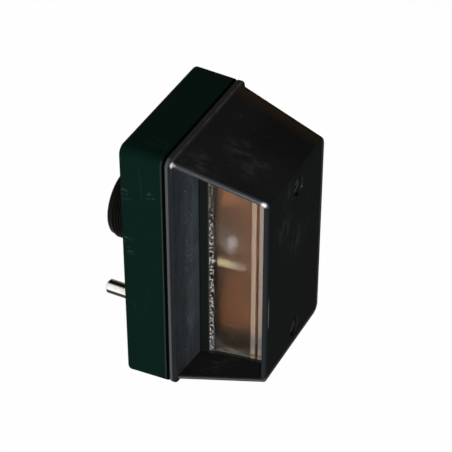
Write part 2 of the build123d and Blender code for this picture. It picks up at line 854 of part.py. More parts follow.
with BuildPart() as bulb_glass:
    neck_back = cap_front - stem_length
    shoulder_front = cap_front + bulb_shoulder
    for wall, mode in ((0, Mode.ADD), (bulb_glass_wall, Mode.SUBTRACT)):
        dome_radius = bulb_glass_radius - wall
        dome_centre = bulb_tip - bulb_glass_radius
        with BuildSketch(Plane.XY):
            with BuildLine():
                neck = Polyline(
                    (bulb_line, -neck_back),
                    (bulb_line + bulb_neck_radius - wall, -neck_back),
                    (bulb_line + bulb_neck_radius - wall, -cap_front),
                    (bulb_line + dome_radius, -shoulder_front),
                    (bulb_line + dome_radius, -dome_centre),
                )
                dome = CenterArc((bulb_line, -dome_centre), dome_radius, 0, -90)
                Line(dome @ 1, neck @ 0)
            make_face()
        revolve(axis=bulb_axis, mode=mode)

bulb_glass.part.label = "bulb_glass"
export_step(bulb_glass.part, "parts/bulb_glass.step")

with BuildPart() as bulb_stem:
    with BuildSketch(at_depth(neck_back)):
        with Locations((bulb_line, 0)):
            Circle(bulb_neck_radius - bulb_glass_wall)
    extrude(amount=stem_foot)
    with BuildSketch(at_depth(neck_back + stem_foot)):
        with Locations((bulb_line, 0)):
            Ellipse(stem_radius, stem_radius / 2, rotation=90)
    extrude(amount=stem_length)

bulb_stem.part.label = "bulb_stem"
export_step(bulb_stem.part, "parts/bulb_stem.step")

with BuildPart() as filament_posts:
    with BuildSketch(at_depth(neck_back + stem_foot + stem_length)):
        with Locations((bulb_line, post_spread), (bulb_line, -post_spread)):
            Circle(post_radius)
    extrude(amount=post_length)

filament_posts.part.label = "filament_posts"
export_step(filament_posts.part, "parts/filament_posts.step")

with BuildPart() as filament:
    filament_depth = neck_back + stem_foot + stem_length + post_length - 2 * filament_radius
    with BuildSketch(Plane.XY.offset(-post_spread + post_radius)):
        with Locations((bulb_line, -filament_depth)):
            Circle(filament_radius)
    extrude(amount=2 * (post_spread - post_radius))

filament.part.label = "filament"
export_step(filament.part, "parts/filament.step")
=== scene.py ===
import math
from types import SimpleNamespace

import bpy
from mathutils import Matrix, Vector


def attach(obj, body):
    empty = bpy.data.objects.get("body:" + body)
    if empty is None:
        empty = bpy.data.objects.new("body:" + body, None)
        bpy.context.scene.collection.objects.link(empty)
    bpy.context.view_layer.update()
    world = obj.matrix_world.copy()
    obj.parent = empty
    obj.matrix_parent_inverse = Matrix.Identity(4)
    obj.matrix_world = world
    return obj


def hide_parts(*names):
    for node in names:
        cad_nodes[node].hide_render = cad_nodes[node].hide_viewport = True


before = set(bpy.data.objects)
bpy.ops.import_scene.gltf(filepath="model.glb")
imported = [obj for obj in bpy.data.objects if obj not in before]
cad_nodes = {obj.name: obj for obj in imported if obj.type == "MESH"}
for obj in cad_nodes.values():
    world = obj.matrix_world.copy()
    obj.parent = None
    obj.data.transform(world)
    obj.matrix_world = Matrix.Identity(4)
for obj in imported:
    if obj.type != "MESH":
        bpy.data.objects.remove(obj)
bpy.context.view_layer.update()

MM = 0.001
PICTURE_SIDE = 452

# Places that the finishes follow, in millimetres; a depth runs forward from the mounting face
LENS_SIDE = -25.65
SILL_X = -9.35
RIM_BACK = 15.8
RIM_FRONT = 18.0
RECESS_FLOOR = 19.5
SILL_TOP = 22.3
FRONT_FACE = 48.15
FRONT_FACE_HALF = 36.6
BASE_FRONT = 15.1
OPEN_AT_RIM = 24.3
OPEN_AT_FRONT = 20.1
FAR_AT_RIM = 24.75
FAR_AT_FRONT = 21.45
WALL_OUTSIDE = 49.25
WALL_SLOPE = 0.2628
WALL_INSIDE = 47.75
LENS_END = 47.6
BEADS_REAR = 22.95
BEADS_FRONT = 24.5
STRIP_REAR = 38.7
GROOVE_REAR = 40.4
GROOVE_FRONT = 41.0
DARK_END_LINE = 40.0
PIN_X = -5.6
PIN_Z = -31.1

# Marks on the lens: a painted highlight streak, painted reflections (point, reach, strength), frost and a
# chip
STREAK_AT_RIM = -2.85
STREAK_AT_FRONT = 2.2
STREAK_START = BEADS_FRONT + 2.0
STREAK_FRONT = 39.0
STREAK_ABOVE = 0.32
STREAK_BELOW = 0.53
PAINTED_REFLECTIONS = (
    ((-10.8, -31.9, 11.0), 2.9, 0.2),
    ((-10.7, -31.3, 9.4), 3.2, 0.34),
    ((-10.7, -30.7, 7.4), 3.2, 0.27),
    ((-10.6, -30.2, 5.6), 3.0, 0.14),
    ((-10.6, -29.4, 7.7), 4.6, 0.13),
    ((-10.5, -28.9, 10.1), 11.0, 0.045),
)
LOW_FROST = (-10.2, -25.6, -36.0)
CHIP = (-10.0, -24.3, -1.0)

# Marks, painted glints and painted corner glints on the hood and the base: a point, then the distances
# where it is full and where it ends
SMEARS = (
    ((-8.0, -48.1, 19.0), 0.5, 9.0),
    ((1.0, -48.1, 8.0), 0.5, 10.0),
    ((-5.0, -48.1, 30.0), 0.5, 6.0),
    ((-8.2, -36.6, 39.6), 0.5, 9.0),
    ((-4.2, -30.7, 41.2), 0.5, 8.0),
    ((-18.0, -24.0, 43.0), 0.5, 9.0),
    ((-14.2, -30.0, -39.8), 0.5, 7.0),
)
DUSTY_SPOTS = (
    ((-14.8, -19.1, 2.8), 0.5, 7.0),
    ((-15.2, -19.1, -24.0), 0.5, 5.0),
)
# Painted glints at the screw wells
PAINTED_SCREW_GLINTS = (
    ((4.2, -48.1, 27.4), 0.1, 0.9),
    ((1.8, -48.1, 32.2), 0.1, 0.7),
    ((2.4, -48.1, -31.4), 0.1, 0.8),
)
# Painted glints on two rounded corners by the lens
PAINTED_CORNER_GLINTS = (
    ((-20.8, -46.8, 36.4), 0.5, 1.5),
    ((-24.6, -18.3, 44.4), 0.4, 1.3),
)
BASE_MARKS = (
    ((-25.6, -1.9, 29.0), 0.5, 3.2),
    ((-25.6, -2.1, 11.8), 0.5, 2.4),
    ((-25.6, -3.0, 6.9), 0.5, 2.2),
    ((-25.6, -10.6, 30.7), 0.5, 2.2),
)


# Node helpers: every pattern reads Object coordinates, in millimetres


def new_finish(name):
    """A new material with its tree and its shader."""
    material = bpy.data.materials.new(name)
    material.use_nodes = True
    tree = material.node_tree
    return material, tree, tree.nodes["Principled BSDF"]


def object_mm(tree, stretch=(1, 1, 1), turn=(0, 0, 0)):
    """Object coordinates in millimetres, stretched or turned for a pattern."""
    coords = tree.nodes.new("ShaderNodeTexCoord")
    mapping = tree.nodes.new("ShaderNodeMapping")
    mapping.inputs["Scale"].default_value = [s / MM for s in stretch]
    mapping.inputs["Rotation"].default_value = turn
    tree.links.new(coords.outputs["Object"], mapping.inputs["Vector"])
    return mapping.outputs["Vector"]


def axis_values(tree, where):
    """The three coordinates of a place."""
    node = tree.nodes.new("ShaderNodeSeparateXYZ")
    tree.links.new(where, node.inputs["Vector"])
    return node.outputs["X"], node.outputs["Y"], node.outputs["Z"]


def noise(tree, where, scale, detail=3.0, roughness=0.5, distortion=0.0):
    """Cloudy noise, mostly between 0.3 and 0.7."""
    node = tree.nodes.new("ShaderNodeTexNoise")
    node.inputs["Scale"].default_value = scale
    node.inputs["Detail"].default_value = detail
    node.inputs["Roughness"].default_value = roughness
    node.inputs["Distortion"].default_value = distortion
    tree.links.new(where, node.inputs["Vector"])
    return node.outputs["Fac"]


def cells(tree, where, scale, feature="F1"):
    """The distance within scattered cells, from their middles or from their borders."""
    node = tree.nodes.new("ShaderNodeTexVoronoi")
    node.feature = feature
    node.inputs["Scale"].default_value = scale
    tree.links.new(where, node.inputs["Vector"])
    return node.outputs["Distance"]


def combine(tree, how, first, second):
    """A sum, product or other of two values; a plain number may stand for either."""
    node = tree.nodes.new("ShaderNodeMath")
    node.operation = how
    for socket, value in zip(node.inputs, (first, second)):
        if isinstance(value, (int, float)):
            socket.default_value = value
        else:
            tree.links.new(value, socket)
    return node.outputs["Value"]


def product(tree, *values):
    """All the values multiplied together."""
    total = values[0]
    for value in values[1:]:
        total = combine(tree, "MULTIPLY", total, value)
    return total


def largest(tree, *values):
    """The largest of the values."""
    top = values[0]
    for value in values[1:]:
        top = combine(tree, "MAXIMUM", top, value)
    return top


def stretch_range(tree, value, low, high, out_low=0.0, out_high=1.0):
    """Maps low..high of a value smoothly to out_low..out_high, held at both ends."""
    node = tree.nodes.new("ShaderNodeMapRange")
    node.interpolation_type = "SMOOTHSTEP"
    node.inputs["From Min"].default_value = low
    node.inputs["From Max"].default_value = high
    node.inputs["To Min"].default_value = out_low
    node.inputs["To Max"].default_value = out_high
    tree.links.new(value, node.inputs["Value"])
    return node.outputs["Result"]


def between(tree, value, rise, fall):
    """One between two soft borders: it rises over the first pair of values, falls over the second."""
    rising = stretch_range(tree, value, rise[0], rise[1])
    falling = stretch_range(tree, value, fall[1], fall[0])
    return product(tree, rising, falling)


def along_slope(tree, depth, at_rim, at_front):
    """A place on a straight line from the hood's rim to its front."""
    node = tree.nodes.new("ShaderNodeMapRange")
    node.inputs["From Min"].default_value = RIM_BACK
    node.inputs["From Max"].default_value = FRONT_FACE
    node.inputs["To Min"].default_value = at_rim
    node.inputs["To Max"].default_value = at_front
    tree.links.new(depth, node.inputs["Value"])
    return node.outputs["Result"]


def lamp_places(tree):
    """A place on the lamp: its coordinates, its depth and its line along the slope of the end walls."""
    where = object_mm(tree)
    x, y, z = axis_values(tree, where)
    depth = product(tree, y, -1.0)
    height = combine(tree, "ABSOLUTE", z, 0.0)
    wall_line = combine(tree, "ADD", height, product(tree, depth, WALL_SLOPE))
    return SimpleNamespace(where=where, x=x, z=z, depth=depth, wall_line=wall_line)


def near(tree, where, point, inner, outer):
    """One within the inner distance of a point, falling to nought at the outer one."""
    node = tree.nodes.new("ShaderNodeVectorMath")
    node.operation = "DISTANCE"
    tree.links.new(where, node.inputs[0])
    node.inputs[1].default_value = point
    return stretch_range(tree, node.outputs["Value"], inner, outer, 1.0, 0.0)


def near_any(tree, where, places):
    """The largest of several near() values; each place is a point with its two distances."""
    return largest(tree, *[near(tree, where, *place) for place in places])


def blend_colours(tree, share, first, second):
    """Two colours mixed by a share; each is a colour or a node's output."""
    node = tree.nodes.new("ShaderNodeMix")
    node.data_type = "RGBA"
    tree.links.new(share, node.inputs["Factor"])
    for key, value in (("A", first), ("B", second)):
        socket = [s for s in node.inputs if s.name == key and s.type == "RGBA"][0]
        if isinstance(value, tuple):
            socket.default_value = (*value, 1.0)
        else:
            tree.links.new(value, socket)
    return [s for s in node.outputs if s.type == "RGBA"][0]


def scratches(tree, stretch, turn, scale, width):
    """Fine hairlines: the thin borders of long cells."""
    where = object_mm(tree, stretch, turn)
    border = cells(tree, where, scale, "DISTANCE_TO_EDGE")
    return stretch_range(tree, border, 0.0, width, 1.0, 0.0)


def roughen(tree, shader, cloud, low, high):
    """Roughness that follows a noise between two values."""
    tree.links.new(stretch_range(tree, cloud, 0.3, 0.7, low, high), shader.inputs["Roughness"])


def bump(tree, shader, height, strength, distance):
    """Fine relief, with its distance in millimetres."""
    node = tree.nodes.new("ShaderNodeBump")
    node.inputs["Strength"].default_value = strength
    node.inputs["Distance"].default_value = distance * MM
    tree.links.new(height, node.inputs["Height"])
    tree.links.new(node.outputs["Normal"], shader.inputs["Normal"])


# Finish of the hood


def hood_places(tree):
    """Places on the lamp, with their distances from the hood's far side and from its lens side."""
    at = lamp_places(tree)
    far_side = along_slope(tree, at.depth, FAR_AT_RIM, FAR_AT_FRONT)
    at.from_far = combine(tree, "SUBTRACT", far_side, at.x)
    open_side = along_slope(tree, at.depth, OPEN_AT_RIM, OPEN_AT_FRONT)
    at.from_side = combine(tree, "ADD", at.x, open_side)
    at.on_side = stretch_range(tree, at.from_side, 1.1, 0.4)
    at.off_walls = stretch_range(tree, at.wall_line, WALL_INSIDE - 0.05, WALL_INSIDE - 0.5)
    return at


def hood_scuffs(tree, at, tone):
    """Soft grey patches broken up by a finer noise, hairlines within them, and specks."""
    patch = stretch_range(tree, noise(tree, at.where, 0.055, 2.0), 0.52, 0.7)
    broken = stretch_range(tree, noise(tree, at.where, 0.6, 5.0, 0.7, 0.6), 0.5, 0.75)
    tone = blend_colours(tree, product(tree, patch, broken, 0.4), tone, (0.05, 0.05, 0.05))
    hair = scratches(tree, (0.35, 0.05, 0.3), (0.3, 0.5, 0.2), 0.5, 0.012)
    tone = blend_colours(tree, product(tree, hair, patch, 0.4), tone, (0.1, 0.1, 0.1))
    specks = stretch_range(tree, noise(tree, at.where, 1.9, 1.0), 0.73, 0.79, 0.0, 0.5)
    tone = blend_colours(tree, specks, tone, (0.14, 0.14, 0.145))
    return tone, hair


def hood_top_tones(tree, at, tone):
    """The top is darker towards its far front, with a thin brown painted reflection of warm light along
    its far edge.
    """
    on_top = product(
        tree,
        stretch_range(tree, at.wall_line, WALL_OUTSIDE - 2.5, WALL_OUTSIDE - 1.2),
        stretch_range(tree, at.z, 0.0, 5.0),
    )
    darker = product(
        tree,
        on_top,
        stretch_range(tree, at.x, -6.0, 8.0),
        stretch_range(tree, at.depth, 24.0, 36.0),
        0.5,
    )
    tone = blend_colours(tree, darker, tone, (0.0055, 0.0055, 0.0055))
    # Painted reflection of warm light along the far edge
    warm_reflection = product(tree, stretch_range(tree, at.from_far, 9.0, 1.0), on_top)
    return blend_colours(tree, warm_reflection, tone, (0.03, 0.019, 0.0115))


def hood_dust(tree, at, tone):
    """Dust on the recess's floor, thicker towards the sill below the lens; the sill has no dust and is
    painted dark as shade.
    """
    dusty_floor = product(
        tree,
        stretch_range(tree, at.depth, RECESS_FLOOR + 0.7, RECESS_FLOOR),
        stretch_range(tree, at.x, SILL_X - 0.2, SILL_X - 1.2),
        stretch_range(tree, at.x, LENS_SIDE + 0.1, LENS_SIDE + 0.7),
        at.off_walls,
    )
    thicker = stretch_range(tree, at.x, -22.0, -13.0, 0.35, 0.8)
    streaky = noise(tree, object_mm(tree, (1, 1, 0.2)), 0.4, 3.0, 0.6)
    uneven = stretch_range(tree, streaky, 0.3, 0.7, 0.7, 1.15)
    dust = product(tree, dusty_floor, thicker, uneven)
    tone = blend_colours(tree, dust, tone, (0.066, 0.082, 0.094))
    blotch = stretch_range(tree, noise(tree, at.where, 0.8, 4.0, 0.7), 0.45, 0.65)
    spots = product(tree, dusty_floor, near_any(tree, at.where, DUSTY_SPOTS), blotch, 0.6)
    tone = blend_colours(tree, spots, tone, (0.12, 0.135, 0.15))
    grit = stretch_range(tree, noise(tree, at.where, 1.1, 2.0), 0.69, 0.75, 0.0, 0.5)
    tone = blend_colours(tree, product(tree, dusty_floor, grit), tone, (0.3, 0.32, 0.33))
    # Painted shade on the sill below the lens
    sill_shade = product(
        tree,
        at.off_walls,
        stretch_range(tree, at.x, SILL_X - 0.6, SILL_X - 0.2),
        between(tree, at.depth, (RIM_FRONT + 0.4, RIM_FRONT + 0.8), (SILL_TOP + 0.2, SILL_TOP + 0.6)),
    )
    tone = blend_colours(tree, sill_shade, tone, (0.0072, 0.0092, 0.0085))
    return tone, dusty_floor


def hood_rim(tree, at, tone, dusty_floor):
    """The rim is paler all round with a painted sheen, most towards the top, a painted highlight along
    its upper edge and a painted highlight line on its lens side.
    """
    in_rim = stretch_range(tree, at.depth, RIM_FRONT + 0.2, RIM_FRONT - 0.1)
    towards_top = stretch_range(tree, at.z, -20.0, 30.0, 0.3, 1.0)
    off_dust = stretch_range(tree, dusty_floor, 0.0, 0.6, 0.8, 0.0)
    # Painted sheen: the rim lighter, most towards the top
    painted_rim_sheen = product(tree, in_rim, towards_top, off_dust)
    tone = blend_colours(tree, painted_rim_sheen, tone, (0.028, 0.029, 0.029))
    # Painted highlight along the rim's upper edge
    upper_edge_highlight = product(
        tree,
        between(tree, at.depth, (RIM_FRONT - 0.6, RIM_FRONT - 0.4), (RIM_FRONT - 0.2, RIM_FRONT)),
        stretch_range(tree, at.z, 40.0, 43.0),
        stretch_range(tree, noise(tree, at.where, 0.2, 5.0, 0.7), 0.38, 0.62),
    )
    tone = blend_colours(tree, upper_edge_highlight, tone, (0.056, 0.055, 0.053))
    rim_side = product(tree, in_rim, stretch_range(tree, at.x, LENS_SIDE + 0.5, LENS_SIDE + 0.2))
    tone = blend_colours(tree, rim_side, tone, (0.0135, 0.0155, 0.0185))
    # Painted highlight line on the rim's lens side, which also gets a glossier coat
    rim_side_highlight = product(
        tree,
        at.on_side,
        between(tree, at.depth, (RIM_BACK - 0.1, RIM_BACK + 0.35), (RIM_FRONT - 1.4, RIM_FRONT - 0.9)),
    )
    tone = blend_colours(tree, rim_side_highlight, tone, (0.06, 0.063, 0.071))
    return tone, rim_side_highlight


def hood_free_edges(tree, at, tone):
    """Free edges by the lens, with painted highlights: the upper wall's end brightest, the lower one's
    pale inside.
    """
    past_rim = stretch_range(tree, at.depth, RIM_FRONT - 0.1, RIM_FRONT + 0.5)
    free_edge = product(tree, at.on_side, past_rim)
    inside_walls = stretch_range(tree, at.wall_line, WALL_INSIDE + 0.3, WALL_INSIDE - 0.2)
    front_end_highlight = product(tree, free_edge, inside_walls)
    in_walls = stretch_range(tree, at.wall_line, WALL_INSIDE - 0.2, WALL_INSIDE + 0.3)
    wall_ends = product(tree, free_edge, in_walls)
    upper_end_highlight = product(tree, wall_ends, stretch_range(tree, at.z, 0.0, 5.0))
    lower_end_highlight = product(
        tree,
        wall_ends,
        stretch_range(tree, at.z, 0.0, -5.0),
        stretch_range(tree, at.wall_line, WALL_INSIDE + 0.75, WALL_INSIDE + 0.45),
    )
    # Painted highlights on the free edges
    tone = blend_colours(tree, upper_end_highlight, tone, (0.038, 0.04, 0.046))
    tone = blend_colours(tree, front_end_highlight, tone, (0.014, 0.017, 0.021))
    tone = blend_colours(tree, lower_end_highlight, tone, (0.09, 0.082, 0.085))
    return tone, upper_end_highlight, front_end_highlight


def hood_wear_and_highlights(tree, at, tone):
    """Smears from handling, a pale rub by the lens side, painted shade on the front face, painted
    highlight lines along its far and lower edges, and painted glints at the screw wells.
    """
    on_front = stretch_range(tree, at.depth, FRONT_FACE - 0.6, FRONT_FACE - 0.2)
    # Painted shade: the front face darker and greener than the rest of the moulding
    tone = blend_colours(tree, product(tree, on_front, 0.6), tone, (0.0072, 0.0115, 0.0105))
    wiped = noise(tree, object_mm(tree, (1.2, 0.5, 0.5), (0.0, 0.6, 0.3)), 0.4, 5.0, 0.7)
    smear = product(tree, near_any(tree, at.where, SMEARS), stretch_range(tree, wiped, 0.4, 0.72), 0.7)
    tone = blend_colours(tree, smear, tone, (0.045, 0.048, 0.048))
    # Painted highlight lines along the front's far and lower edges
    far_line = between(tree, at.from_far, (1.0, 1.3), (1.9, 2.2))
    from_low = combine(tree, "ADD", at.z, FRONT_FACE_HALF)
    low_line = between(tree, from_low, (0.8, 1.1), (1.7, 2.0))
    edge_highlight_line = product(tree, largest(tree, far_line, low_line), on_front)
    tone = blend_colours(tree, edge_highlight_line, tone, (0.085, 0.063, 0.052))
    side_line = product(
        tree,
        on_front,
        between(tree, at.from_side, (1.0, 1.4), (1.7, 2.1)),
        between(tree, at.z, (-15.0, -12.0), (-6.0, 0.0)),
    )
    tone = blend_colours(tree, side_line, tone, (0.13, 0.135, 0.14))
    # Painted glints at the screw wells
    return blend_colours(tree, near_any(tree, at.where, PAINTED_SCREW_GLINTS), tone, (0.26, 0.26, 0.26))


def hood_black():
    """Glossy black moulding: scuffed, with hairlines and dust, glossier coated edges, and painted
    highlights, glints and shade.
    """
    material, tree, shader = new_finish("hood_black_moulding")
    at = hood_places(tree)
    smudge = noise(tree, at.where, 0.09, 4.0, 0.6)
    tone = blend_colours(tree, smudge, (0.0108, 0.0112, 0.0112), (0.0148, 0.0152, 0.0152))
    tone, hair = hood_scuffs(tree, at, tone)
    tone = hood_top_tones(tree, at, tone)
    tone, dusty_floor = hood_dust(tree, at, tone)
    tone, rim_highlight = hood_rim(tree, at, tone, dusty_floor)
    tone, upper_end_highlight, front_end_highlight = hood_free_edges(tree, at, tone)
    tone = hood_wear_and_highlights(tree, at, tone)
    # Painted glints on two rounded corners, with a glossier coat there
    corner_glint = near_any(tree, at.where, PAINTED_CORNER_GLINTS)
    tone = blend_colours(tree, corner_glint, tone, (0.72, 0.74, 0.8))
    tree.links.new(tone, shader.inputs["Base Color"])
    roughen(tree, shader, smudge, 0.35, 0.5)
    shader.inputs["Specular IOR Level"].default_value = 0.0
    polish = 0.014
    for share, gain in ((upper_end_highlight, 0.28), (rim_highlight, 0.22), (front_end_highlight, 0.06), (corner_glint, 0.3)):
        polish = combine(tree, "ADD", product(tree, share, gain), polish)
    tree.links.new(polish, shader.inputs["Coat Weight"])
    shader.inputs["Coat Roughness"].default_value = 0.2
    shader.inputs["Coat IOR"].default_value = 1.5
    grain = combine(tree, "ADD", noise(tree, at.where, 1.1, 3.0), product(tree, hair, -0.4))
    bump(tree, shader, grain, 0.12, 0.05)
    return material


# Finish of the lens


def lens_lip(tree, at):
    """Beads along the lip, fewer towards the top, behind a stretch of painted shade."""
    behind = stretch_range(tree, at.depth, BEADS_REAR + 0.1, BEADS_REAR - 0.1)
    past = stretch_range(tree, at.depth, BEADS_FRONT - 0.1, BEADS_FRONT + 0.1)
    on_lip = combine(tree, "SUBTRACT", combine(tree, "SUBTRACT", 1.0, behind), past)
    bead = stretch_range(tree, cells(tree, object_mm(tree, (1.3, 1.3, 1.2)), 1.0), 0.62, 0.25)
    denser = stretch_range(tree, at.z, 22.0, 8.0, 0.42, 0.85)
    denser = combine(tree, "ADD", denser, stretch_range(tree, at.z, -26.0, -34.0, 0.0, 0.3))
    frost = product(tree, on_lip, stretch_range(tree, at.z, -28.0, -34.0, 0.0, 0.1))
    chip = near(tree, at.where, CHIP, 0.3, 1.0)
    beads = largest(tree, product(tree, on_lip, bead, denser), frost, chip)
    shade = product(tree, past, stretch_range(tree, at.depth, BEADS_FRONT + 2.5, BEADS_FRONT + 0.4))
    return SimpleNamespace(behind=behind, on_lip=on_lip, beads=beads, shade=shade)


def lens_strips(tree, at, lower_half):
    """Frosted strips along the front with a clear groove between them, dimmer near the lower end."""
    ridge = stretch_range(tree, at.depth, STRIP_REAR - 0.05, STRIP_REAR + 0.05)
    groove = between(
        tree,
        at.depth,
        (GROOVE_REAR - 0.05, GROOVE_REAR + 0.05),
        (GROOVE_FRONT + 0.4, GROOVE_FRONT + 0.6),
    )
    strip = combine(tree, "SUBTRACT", ridge, groove)
    dim = product(tree, lower_half, between(tree, at.wall_line, (34.5, 38.5), (40.0, 43.0)))
    return SimpleNamespace(groove=groove, strip=strip, dim=dim)


def lens_ends(tree, at, strip):
    """A dark border on the seat at both ends, inside it a pale band and line, and a gap in the strips."""
    seat = stretch_range(tree, at.wall_line, LENS_END - 1.5, LENS_END - 1.2)
    blotch = stretch_range(tree, noise(tree, at.where, 0.7), 0.35, 0.65)
    band = product(tree, stretch_range(tree, at.wall_line, LENS_END - 3.9, LENS_END - 2.4), blotch, 0.15)
    line = stretch_range(tree, at.wall_line, LENS_END - 2.2, LENS_END - 1.8, 0.0, 0.1)
    gap = between(tree, at.wall_line, (LENS_END - 3.3, LENS_END - 3.0), (LENS_END - 2.5, LENS_END - 2.2))
    return SimpleNamespace(seat=seat, band=band, line=line, gap=product(tree, gap, strip, 0.75))


def lens_marks_and_highlights(tree, at, lower_half):
    """A painted yellow highlight streak from the lip, painted pale reflections above it, haze over the
    upper half and low frost.
    """
    over_streak = combine(
        tree,
        "SUBTRACT",
        at.z,
        along_slope(tree, at.depth, STREAK_AT_RIM, STREAK_AT_FRONT),
    )
    off_middle = largest(
        tree,
        product(tree, over_streak, STREAK_ABOVE),
        product(tree, over_streak, -STREAK_BELOW),
    )
    highlight_streak = product(
        tree,
        stretch_range(tree, off_middle, 0.0, 1.0, 1.0, 0.0),
        between(tree, at.depth, (STREAK_START - 1.4, STREAK_START), (STREAK_START, STREAK_FRONT)),
        0.58,
    )
    painted_reflection = largest(
        tree,
        *[product(tree, near(tree, at.where, point, 0.0, reach), gain) for point, reach, gain in PAINTED_REFLECTIONS],
    )
    behind_strips = stretch_range(tree, at.depth, 40.0, 32.0)
    upper_haze = product(tree, stretch_range(tree, at.z, 0.0, 14.0, 0.0, 0.016), behind_strips)
    low_haze = product(tree, lower_half, stretch_range(tree, at.wall_line, 42.5, 45.0), 0.03)
    low_frost = product(tree, near(tree, at.where, LOW_FROST, 0.0, 4.5), 0.045)
    haze = largest(tree, upper_haze, low_haze)
    return SimpleNamespace(highlight_streak=highlight_streak, painted_reflection=painted_reflection, haze=haze, low_frost=low_frost)


def lens_clear():
    """Clear moulding, beaded along its lip and frosted on its front strips, with a chip, frost and haze,
    and painted highlights, reflections and shade.
    """
    material, tree, shader = new_finish("lens_clear_moulding")
    at = lamp_places(tree)
    lower_half = stretch_range(tree, at.z, 0.0, -5.0)
    lip = lens_lip(tree, at)
    strips = lens_strips(tree, at, lower_half)
    ends = lens_ends(tree, at, strips.strip)
    lens_marks = lens_marks_and_highlights(tree, at, lower_half)
    # Tints, from the clear body out to the marks that lie on it
    clear_tint = (0.95, 0.87, 0.77)
    front_strip = stretch_range(tree, at.depth, GROOVE_REAR, GROOVE_FRONT)
    strip_tone = blend_colours(tree, front_strip, (0.84, 0.68, 0.54), (0.8, 0.7, 0.62))
    strip_tone = blend_colours(tree, strips.dim, strip_tone, (0.52, 0.5, 0.49))
    tint = blend_colours(tree, strips.strip, clear_tint, strip_tone)
    # Painted reflection: the clear groove is tinted brown for the warm colour seen in it
    tint = blend_colours(tree, strips.groove, tint, (0.55, 0.36, 0.24))
    # Painted shade beside the lip
    tint = blend_colours(tree, product(tree, lip.shade, 0.65), tint, (0.3, 0.34, 0.36))
    tint = blend_colours(tree, lip.on_lip, tint, (0.2, 0.23, 0.23))
    # Painted highlight streak, warmer near the lip, then painted pale reflections
    warmer_part = stretch_range(tree, at.depth, 34.0, 28.0)
    highlight_tone = blend_colours(tree, warmer_part, (0.75, 0.68, 0.56), (0.8, 0.69, 0.4))
    tint = blend_colours(tree, stretch_range(tree, lens_marks.highlight_streak, 0.0, 0.2), tint, highlight_tone)
    tint = blend_colours(tree, stretch_range(tree, lens_marks.painted_reflection, 0.0, 0.2), tint, (0.8, 0.76, 0.73))
    tint = blend_colours(tree, stretch_range(tree, lens_marks.low_frost, 0.0, 0.05), tint, (0.8, 0.79, 0.79))
    tint = blend_colours(tree, stretch_range(tree, lip.beads, 0.0, 0.5), tint, (0.5, 0.52, 0.52))
    dark = largest(tree, ends.gap, ends.seat, lip.behind)
    tint = blend_colours(tree, dark, tint, (0.014, 0.014, 0.013))
    tree.links.new(tint, shader.inputs["Base Color"])
    # Whatever is dark or milky lets less light through
    frosted = product(tree, strips.strip, 0.3)
    marks = (lip.beads, frosted, ends.band, ends.line)
    milky = largest(tree, dark, *marks, lens_marks.highlight_streak, lens_marks.painted_reflection, lens_marks.haze, lens_marks.low_frost)
    tree.links.new(stretch_range(tree, milky, 0.0, 0.6, 0.4, 0.5), shader.inputs["Roughness"])
    clear = combine(tree, "SUBTRACT", 0.994, product(tree, milky, 0.85))
    tree.links.new(clear, shader.inputs["Transmission Weight"])
    shader.inputs["IOR"].default_value = 1.4
    # Painted reflection: the lens's reflections are tinted orange for warm surroundings
    shader.inputs["Specular Tint"].default_value = (1.0, 0.52, 0.22, 1.0)
    bump(tree, shader, lip.beads, 0.4, 0.15)
    return material


# Finishes of the other pieces


def base_green():
    """Dark green moulding, satin, with a few pale scratches, specks and short marks."""
    material, tree, shader = new_finish("base_green_moulding")
    where = object_mm(tree)
    cloud = noise(tree, where, 0.07, 4.0, 0.6)
    tone = blend_colours(tree, cloud, (0.0017, 0.0092, 0.0071), (0.0023, 0.0119, 0.0094))
    hair = scratches(tree, (0.3, 0.3, 0.06), (0.2, 0.35, 0.1), 0.45, 0.01)
    patch = stretch_range(tree, noise(tree, where, 0.08, 2.0), 0.55, 0.72)
    tone = blend_colours(tree, product(tree, hair, patch, 0.3), tone, (0.06, 0.085, 0.078))
    specks = stretch_range(tree, noise(tree, where, 1.7, 1.0), 0.76, 0.82, 0.0, 0.4)
    tone = blend_colours(tree, specks, tone, (0.09, 0.11, 0.1))
    short = stretch_range(tree, noise(tree, object_mm(tree, (1, 0.5, 2.6)), 0.9, 2.0), 0.54, 0.66)
    marks = product(tree, near_any(tree, where, BASE_MARKS), short, 0.7)
    tone = blend_colours(tree, marks, tone, (0.04, 0.065, 0.062))
    # A painted highlight along the front edge of its lens side, and the dark joint in front of it
    x, y, _ = axis_values(tree, where)
    from_front = combine(tree, "ADD", y, BASE_FRONT)
    base_edge_highlight = product(
        tree,
        stretch_range(tree, x, LENS_SIDE + 1.0, LENS_SIDE + 0.5),
        between(tree, from_front, (0.35, 0.5), (0.7, 0.95)),
    )
    tone = blend_colours(tree, base_edge_highlight, tone, (0.02, 0.0285, 0.024))
    joint = stretch_range(tree, from_front, 0.4, 0.2)
    tone = blend_colours(tree, joint, tone, (0.0007, 0.0016, 0.0014))
    tree.links.new(tone, shader.inputs["Base Color"])
    roughen(tree, shader, cloud, 0.42, 0.58)
    shader.inputs["Specular IOR Level"].default_value = 0.0
    shader.inputs["Coat Weight"].default_value = 0.03
    shader.inputs["Coat Roughness"].default_value = 0.35
    bump(tree, shader, noise(tree, where, 2.2, 4.0), 0.15, 0.04)
    return material


